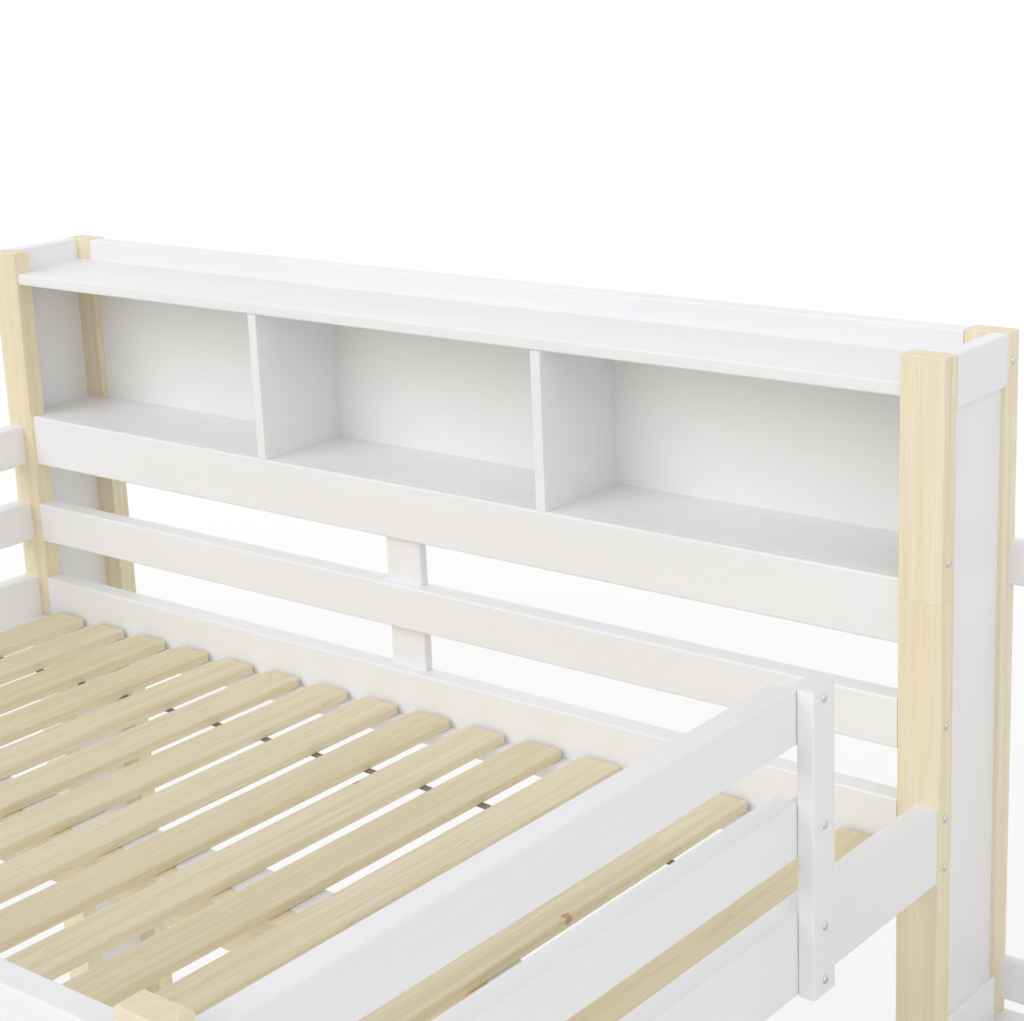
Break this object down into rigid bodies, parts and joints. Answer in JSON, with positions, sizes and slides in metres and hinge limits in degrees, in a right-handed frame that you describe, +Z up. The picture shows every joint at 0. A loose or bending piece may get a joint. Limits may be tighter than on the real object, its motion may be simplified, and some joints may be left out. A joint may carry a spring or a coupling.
{
  "type": "loft bed",
  "caption": "Loft bed in pine and white painted wood: slatted base, guard rails all round, compartment shelf on the wall side and a stair with a landing at one end.",
  "frame": {"origin": "on the floor, under the middle of the bounding box", "axes": "+X along the bed towards the stair end, +Y towards the wall side with the shelf, +Z up"},
  "size_m": [2.513, 1.691, 2],
  "materials": {
    "white_paint": "smooth opaque white paint, satin",
    "pine": "natural pine under clear matt lacquer",
    "bolt_steel": "zinc plated, satin",
    "slat_tape": "woven tape"
  },
  "bodies": {
    "root": {"front_post_left": "pine", "front_post_right": "pine", "guard_board": "white_paint", "guard_board_bolts": "bolt_steel", "landing_cross_bearers": "white_paint", "landing_side_bearers": "white_paint", "left_end_side_rail": "white_paint", "left_lower_guard_rail": "white_paint", "left_top_guard_rail": "white_paint", "near_lower_guard_rail": "white_paint", "near_post_bolts": "bolt_steel", "near_post_left": "pine", "near_post_right": "pine", "near_side_rail": "white_paint", "near_slat_ledger": "white_paint", "near_stiles": "white_paint", "near_top_guard_rail": "white_paint", "rear_post_left": "pine", "rear_post_right": "pine", "rear_top_rail": "white_paint", "right_end_side_rail": "white_paint", "right_lower_guard_rail": "white_paint", "right_top_guard_rail": "white_paint", "shelf_back_panel": "white_paint", "shelf_divider_left": "white_paint", "shelf_divider_right": "white_paint", "shelf_fascia": "white_paint", "shelf_floor_board": "white_paint", "shelf_top_board": "white_paint", "side_bottom_rail_left": "white_paint", "side_bottom_rail_right": "white_paint", "side_middle_rail_left": "white_paint", "side_middle_rail_right": "white_paint", "side_panel_lower_left": "white_paint", "side_panel_lower_right": "white_paint", "side_panel_upper_left": "white_paint", "side_panel_upper_right": "white_paint", "side_top_rail_left": "white_paint", "side_top_rail_right": "white_paint", "slat_beam_cap": "white_paint", "slat_beam_web": "pine", "slat_tapes": "slat_tape", "slats": "pine", "stair_front_post": "pine", "stair_landing": "white_paint", "stair_leg": "pine", "stair_rear_post": "pine", "stair_rear_rail_low": "white_paint", "stair_rear_rail_top": "white_paint", "stair_side_rail_low": "white_paint", "stair_side_rail_top": "white_paint", "stair_stringer_inner": "white_paint", "stair_stringer_outer": "white_paint", "stair_treads": "white_paint", "wall_guard_rail": "white_paint", "wall_post_bolts": "bolt_steel", "wall_side_rail": "white_paint", "wall_slat_ledger": "white_paint", "wall_stiles": "white_paint"}
  },
  "joints": []
}
